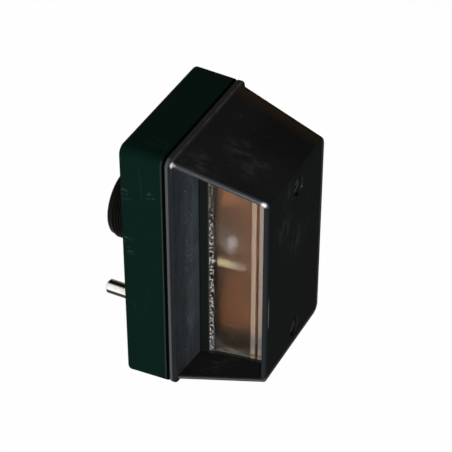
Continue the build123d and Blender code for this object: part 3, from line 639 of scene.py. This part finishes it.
def reflector_tarnish_and_reflection():
    """Pressed sheet whose brown is partly tarnish and partly a painted reflection of warm surroundings,
    dimmer near its upper end and painted dark at its lower one.
    """
    material, tree, shader = new_finish("reflector_tarnish_and_reflection_sheet")
    where = object_mm(tree)
    _, y, z = axis_values(tree, where)
    tarnish_and_reflection = noise(tree, where, 0.1, 4.0, 0.6)
    # Brown partly tarnish and partly painted reflection of warm surroundings
    tone = blend_colours(tree, tarnish_and_reflection, (0.28, 0.1, 0.031), (0.39, 0.152, 0.052))
    brighter = stretch_range(tree, z, -6.0, 16.0, 0.0, 0.8)
    tone = blend_colours(tree, brighter, tone, (0.62, 0.27, 0.108))
    slope = product(tree, y, -WALL_SLOPE)
    upper_line = combine(tree, "ADD", z, slope)
    dimmer = product(
        tree,
        stretch_range(tree, upper_line, DARK_END_LINE - 13.5, DARK_END_LINE - 6.0),
        stretch_range(tree, y, -26.0, -32.0),
    )
    tone = blend_colours(tree, dimmer, tone, (0.15, 0.08, 0.046))
    # Painted darker lower end, where no warm reflection shows
    lower_line = combine(tree, "SUBTRACT", slope, z)
    painted_dark_end = stretch_range(tree, lower_line, DARK_END_LINE - 1.0, DARK_END_LINE + 0.3)
    tone = blend_colours(tree, painted_dark_end, tone, (0.02, 0.02, 0.018))
    tree.links.new(tone, shader.inputs["Base Color"])
    shader.inputs["Metallic"].default_value = 1.0
    roughen(tree, shader, tarnish_and_reflection, 0.45, 0.6)
    bump(tree, shader, noise(tree, where, 0.6, 2.0), 0.1, 0.05)
    return material


def pin_nickel():
    """Turned plating with a painted highlight band along one side and painted shade elsewhere."""
    material, tree, shader = new_finish("pin_nickel_plate")
    x, _, z = axis_values(tree, object_mm(tree))
    across = combine(
        tree,
        "ADD",
        product(tree, combine(tree, "SUBTRACT", x, PIN_X), 0.57),
        product(tree, combine(tree, "SUBTRACT", z, PIN_Z), 0.82),
    )
    # Painted highlight: a bright band along one side
    bright = product(
        tree,
        stretch_range(tree, x, PIN_X + 0.8, PIN_X - 0.2),
        between(tree, across, (-1.4, -0.8), (0.7, 1.5)),
    )
    rings = noise(tree, object_mm(tree, (0.2, 6, 0.2)), 0.8, 4.0, 0.6)
    # Painted shade: the rest of the pin very dark and barely metallic
    dull = blend_colours(tree, rings, (0.012, 0.011, 0.009), (0.024, 0.022, 0.019))
    tone = blend_colours(tree, bright, dull, (0.98, 0.96, 0.92))
    tree.links.new(tone, shader.inputs["Base Color"])
    tree.links.new(stretch_range(tree, bright, 0.0, 1.0, 1.0, 0.15), shader.inputs["Metallic"])
    roughen(tree, shader, rings, 0.22, 0.34)
    bump(tree, shader, rings, 0.08, 0.03)
    return material


def bulb_clear():
    """Thin clear glass with a faint warm haze."""
    material, tree, shader = new_finish("bulb_clear_glass")
    haze = noise(tree, object_mm(tree), 0.4, 3.0)
    tone = blend_colours(tree, haze, (0.98, 0.97, 0.94), (0.92, 0.9, 0.84))
    tree.links.new(tone, shader.inputs["Base Color"])
    roughen(tree, shader, haze, 0.01, 0.06)
    shader.inputs["Transmission Weight"].default_value = 1.0
    shader.inputs["IOR"].default_value = 1.46
    return material


def metal(name, dull, bright, roughness):
    """Bare metal whose tone and roughness follow the marks of its making."""
    material, tree, shader = new_finish(name)
    marks = noise(tree, object_mm(tree), 0.6, 4.0, 0.6)
    tree.links.new(blend_colours(tree, marks, dull, bright), shader.inputs["Base Color"])
    shader.inputs["Metallic"].default_value = 1.0
    roughen(tree, shader, marks, *roughness)
    bump(tree, shader, marks, 0.08, 0.03)
    return material


def moulding(name, dark, light, roughness, grain_scale, grain_depth, gloss=0.15):
    """Plain dull moulding or rubber with a fine grain."""
    material, tree, shader = new_finish(name)
    where = object_mm(tree)
    cloud = noise(tree, where, 0.3, 4.0, 0.6)
    tree.links.new(blend_colours(tree, cloud, dark, light), shader.inputs["Base Color"])
    roughen(tree, shader, cloud, *roughness)
    shader.inputs["Specular IOR Level"].default_value = gloss
    bump(tree, shader, noise(tree, where, grain_scale, 3.0), 0.3, grain_depth)
    return material


def dress(material, *names):
    """Gives CAD nodes their finish."""
    for name in names:
        mesh = cad_nodes[name].data
        mesh.materials.clear()
        mesh.materials.append(material)


dress(base_green(), "base_housing")
dress(hood_black(), "hood")
dress(lens_clear(), "lens")
dress(reflector_tarnish_and_reflection(), "reflector")
dress(bulb_clear(), "bulb_glass", "bulb_stem")
dress(pin_nickel(), "locating_pin")
dress(
    metal("screw_blackened_steel", (0.004, 0.004, 0.004), (0.011, 0.011, 0.011), (0.4, 0.55)),
    "cover_screws",
)
dress(
    metal("zinc_plated_steel", (0.5, 0.5, 0.48), (0.66, 0.66, 0.64), (0.3, 0.45)),
    "holder_bracket",
    "bracket_screws",
    "terminal_screws",
)
dress(
    metal("contact_brass_sheet", (0.5, 0.36, 0.15), (0.7, 0.53, 0.26), (0.25, 0.4)),
    "thread_inserts",
    "terminal_inserts",
    "live_strip",
    "bulb_socket",
    "contact_plunger",
    "bulb_contact",
    "bulb_cap",
)
dress(
    metal("drawn_wire", (0.2, 0.2, 0.2), (0.32, 0.32, 0.33), (0.3, 0.4)),
    "contact_spring",
    "filament_posts",
    "filament",
)
dress(
    moulding(
        "black_rubber_seal",
        dark=(0.0006, 0.0006, 0.0006),
        light=(0.0018, 0.0018, 0.0018),
        roughness=(0.7, 0.85),
        grain_scale=1.5,
        grain_depth=0.08,
        gloss=0.02,
    ),
    "hood_gasket",
    "lens_gasket",
    "screw_seals",
    "spigot_seal",
)
dress(
    moulding(
        "brown_insulating_moulding",
        dark=(0.03, 0.014, 0.008),
        light=(0.05, 0.024, 0.014),
        roughness=(0.45, 0.6),
        grain_scale=1.2,
        grain_depth=0.05,
    ),
    "terminal_block",
    "socket_insulator",
)
dress(
    moulding(
        "black_glassy_insulator",
        dark=(0.004, 0.004, 0.005),
        light=(0.01, 0.01, 0.012),
        roughness=(0.15, 0.25),
        grain_scale=0.8,
        grain_depth=0.02,
    ),
    "bulb_insulator",
)


# Threaded spigot: a turned body with a helical ridge, standing where the plain one stood

SPIGOT_CENTRE = 4.0
CREST_RADIUS = 12.5
ROOT_RADIUS = 11.86
NECK_RADIUS = 13.0
FLANGE_RADIUS = 15.6
MOUTH_RADIUS = 9.3
BORE_RADIUS = 8.5
INNER_END = -6.2
FLANGE_TOP = -3.8
NECK_TOP = 0.3
OUTER_END = 16.3
MOUTH_CHAMFER = 0.8
END_CHAMFER = 0.5
THREAD_PITCH = 1.06
THREAD_TURNS = 13
THREAD_START = 0.75
RIDGE_FOOT = 0.92
RIDGE_CREST = 0.16
RIDGE_SUNK = 0.1
TURN_STEPS = 96


def deselect_all():
    """Leaves no object selected."""
    bpy.ops.object.select_all(action="DESELECT")


def turned_body():
    """A ring at the bore's inner end, extruded and resized from station to station."""
    stations = (
        (BORE_RADIUS, INNER_END + MOUTH_CHAMFER),
        (MOUTH_RADIUS, INNER_END),
        (FLANGE_RADIUS, INNER_END),
        (FLANGE_RADIUS, FLANGE_TOP),
        (NECK_RADIUS, FLANGE_TOP),
        (NECK_RADIUS, NECK_TOP),
        (ROOT_RADIUS, NECK_TOP),
        (ROOT_RADIUS, OUTER_END - END_CHAMFER),
        (ROOT_RADIUS - END_CHAMFER, OUTER_END),
        (MOUTH_RADIUS, OUTER_END),
        (BORE_RADIUS, OUTER_END - MOUTH_CHAMFER),
    )
    radius, along = stations[0]
    deselect_all()
    bpy.ops.mesh.primitive_circle_add(
        vertices=TURN_STEPS,
        radius=radius * MM,
        fill_type="NOTHING",
        location=(0.0, along * MM, 0.0),
        rotation=(math.pi / 2, 0.0, 0.0),
    )
    body = bpy.context.object
    body.name = "spigot_with_thread"
    bpy.ops.object.transform_apply(location=True, rotation=True, scale=True)
    bpy.ops.object.mode_set(mode="EDIT")
    bpy.ops.mesh.select_mode(type="EDGE")
    bpy.ops.mesh.select_all(action="SELECT")
    for next_radius, next_along in stations[1:]:
        step = (0.0, (next_along - along) * MM, 0.0)
        bpy.ops.mesh.extrude_edges_move(TRANSFORM_OT_translate={"value": step})
        grow = next_radius / radius
        centre = (0.0, next_along * MM, 0.0)
        bpy.ops.transform.resize(value=(grow, 1.0, grow), center_override=centre)
        radius, along = next_radius, next_along
    # The bore closes the section
    bpy.ops.mesh.select_all(action="DESELECT")
    bpy.ops.mesh.select_non_manifold()
    bpy.ops.mesh.bridge_edge_loops()
    bpy.ops.mesh.select_all(action="SELECT")
    bpy.ops.mesh.normals_make_consistent(inside=False)
    bpy.ops.object.mode_set(mode="OBJECT")
    return body


def helical_ridge():
    """The ridge's section, narrowed at its crest and carried round by a screw."""
    foot_radius = ROOT_RADIUS - RIDGE_SUNK
    middle = (foot_radius + CREST_RADIUS) / 2 * MM
    place = (middle, THREAD_START * MM, 0.0)
    deselect_all()
    bpy.ops.mesh.primitive_plane_add(size=RIDGE_FOOT * MM, location=place)
    ridge = bpy.context.object
    ridge.name = "spigot_ridge"
    bpy.ops.object.transform_apply(location=True, rotation=True, scale=True)
    bpy.ops.object.mode_set(mode="EDIT")
    bpy.ops.mesh.select_mode(type="VERT")
    bpy.ops.mesh.select_all(action="SELECT")
    rise = (CREST_RADIUS - foot_radius) / RIDGE_FOOT
    bpy.ops.transform.resize(value=(rise, 1.0, 1.0), center_override=place)
    bpy.ops.object.mode_set(mode="OBJECT")
    for vertex in ridge.data.vertices:
        vertex.select = vertex.co.x > middle
    for line in (*ridge.data.edges, *ridge.data.polygons):
        line.select = False
    bpy.ops.object.mode_set(mode="EDIT")
    bpy.ops.transform.resize(value=(1.0, RIDGE_CREST / RIDGE_FOOT, 1.0), center_override=place)
    bpy.ops.object.mode_set(mode="OBJECT")
    screw = ridge.modifiers.new("thread", "SCREW")
    screw.axis = "Y"
    screw.angle = math.tau
    screw.screw_offset = THREAD_PITCH * MM
    screw.iterations = THREAD_TURNS
    screw.steps = TURN_STEPS
    screw.render_steps = TURN_STEPS
    bpy.ops.object.modifier_apply(modifier=screw.name)
    bpy.ops.object.mode_set(mode="EDIT")
    bpy.ops.mesh.select_all(action="SELECT")
    bpy.ops.mesh.remove_doubles(threshold=1e-7)
    bpy.ops.mesh.normals_make_consistent(inside=False)
    bpy.ops.object.mode_set(mode="OBJECT")
    return ridge


def threaded_spigot():
    """The ridge joined to the turned body and moved to the spigot's place."""
    ridge = helical_ridge()
    body = turned_body()
    deselect_all()
    ridge.select_set(True)
    body.select_set(True)
    bpy.context.view_layer.objects.active = body
    bpy.ops.object.join()
    body.location = (SPIGOT_CENTRE * MM, 0.0, 0.0)
    bpy.ops.object.transform_apply(location=True, rotation=True, scale=True)
    bpy.ops.object.shade_smooth_by_angle(angle=math.radians(30))
    return body


spigot = threaded_spigot()
spigot.data.materials.append(
    moulding(
        "spigot_black_moulding",
        dark=(0.0035, 0.0032, 0.003),
        light=(0.0072, 0.0066, 0.006),
        roughness=(0.35, 0.5),
        grain_scale=1.3,
        grain_depth=0.04,
        gloss=0.05,
    )
)
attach(spigot, "root")
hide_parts("threaded_spigot")


# Stage: a pale floor well below the lamp, which hangs as on its panel, and soft light

FLOOR_DEPTH = 160.0
FLOOR_SIDE = 12.0
WHITE_SHARE = 0.98
LIGHT_AIM = (-8.0, -18.0, 0.0)
SKY_STRENGTH = 0.12

# Each light's name, direction, distance and side in metres, power and colour
LIGHTS = (
    ("key_left", (-0.93, -0.25, 0.3), 0.8, 0.18, 5.6, (1.0, 0.99, 0.97)),
    ("flash_by_camera", (-0.66, -0.42, 0.66), 0.6, 0.02, 0.6, (1.0, 1.0, 1.0)),
    ("fill_behind", (0.72, 0.69, -0.04), 0.8, 0.5, 4.0, (1.0, 1.0, 1.0)),
    ("warm_behind", (0.8, 0.4, 0.4), 0.8, 0.5, 0.6, (1.0, 0.62, 0.38)),
)


def seen_white(tree):
    """One for rays from the camera, or from gloss and glass."""
    rays = tree.nodes.new("ShaderNodeLightPath").outputs
    return largest(tree, rays["Is Camera Ray"], rays["Is Glossy Ray"], rays["Is Transmission Ray"])


def floor_pale():
    """Pale paper that is seen as nearly white."""
    material, tree, shader = new_finish("pale_floor")
    paper = noise(tree, object_mm(tree), 0.01, 2.0)
    tone = blend_colours(tree, paper, (0.88, 0.88, 0.88), (0.9, 0.9, 0.9))
    tree.links.new(tone, shader.inputs["Base Color"])
    shader.inputs["Roughness"].default_value = 0.9
    shader.inputs["Specular IOR Level"].default_value = 0.0
    glow = tree.nodes.new("ShaderNodeEmission")
    glow.inputs["Strength"].default_value = 1.0
    join = tree.nodes.new("ShaderNodeMixShader")
    tree.links.new(product(tree, seen_white(tree), WHITE_SHARE), join.inputs["Fac"])
    tree.links.new(shader.outputs["BSDF"], join.inputs[1])
    tree.links.new(glow.outputs["Emission"], join.inputs[2])
    tree.links.new(join.outputs["Shader"], tree.nodes["Material Output"].inputs["Surface"])
    return material


def soft_light(name, toward, distance, side, power, colour):
    """A square soft light that looks at the lamp from a direction."""
    deselect_all()
    bpy.ops.object.light_add(type="AREA")
    light = bpy.context.object
    light.name = name
    light.data.size = side
    light.data.energy = power
    light.data.color = colour
    direction = Vector(toward).normalized()
    light.location = Vector(LIGHT_AIM) * MM + direction * distance
    light.rotation_mode = "QUATERNION"
    light.rotation_quaternion = (-direction).to_track_quat("-Z", "Y")
    light.visible_camera = False


deselect_all()
bpy.ops.mesh.primitive_plane_add(size=FLOOR_SIDE, location=(0.0, 0.0, -FLOOR_DEPTH * MM))
floor = bpy.context.object
floor.name = "floor"
floor.data.materials.append(floor_pale())

for light_values in LIGHTS:
    soft_light(*light_values)

world = bpy.data.worlds.new("soft_room")
bpy.context.scene.world = world
world.use_nodes = True
sky = world.node_tree.nodes["Background"]
sky.inputs["Color"].default_value = (1.0, 1.0, 1.0, 1.0)
sky.inputs["Strength"].default_value = SKY_STRENGTH


# Camera, where the photograph was taken from

CAMERA_AZIMUTH = -1.1049503
CAMERA_ELEVATION = 0.6719961
CAMERA_ROLL = 0.0007932
CAMERA_DISTANCE = 555.907
CAMERA_TARGET = (-21.1395, -34.4231, 24.6178)
FOCAL_PIXELS = 1815.85
SENSOR_WIDTH = 36.0

bpy.ops.object.camera_add()
camera = bpy.context.object
camera.data.sensor_width = SENSOR_WIDTH
camera.data.lens = FOCAL_PIXELS / PICTURE_SIDE * SENSOR_WIDTH
camera.data.clip_start = 0.01
camera.data.clip_end = 100.0
level = math.cos(CAMERA_ELEVATION)
back = Vector(
    (math.sin(CAMERA_AZIMUTH) * level, -math.cos(CAMERA_AZIMUTH) * level, math.sin(CAMERA_ELEVATION))
)
right = Vector((math.cos(CAMERA_AZIMUTH), math.sin(CAMERA_AZIMUTH), 0.0))
up = back.cross(right)
turned_right = right * math.cos(CAMERA_ROLL) + up * math.sin(CAMERA_ROLL)
turned_up = up * math.cos(CAMERA_ROLL) - right * math.sin(CAMERA_ROLL)
camera.location = (Vector(CAMERA_TARGET) + back * CAMERA_DISTANCE) * MM
camera.rotation_mode = "QUATERNION"
camera.rotation_quaternion = Matrix((turned_right, turned_up, back)).transposed().to_quaternion()
bpy.context.scene.camera = camera
bpy.context.scene.view_settings.view_transform = "Standard"
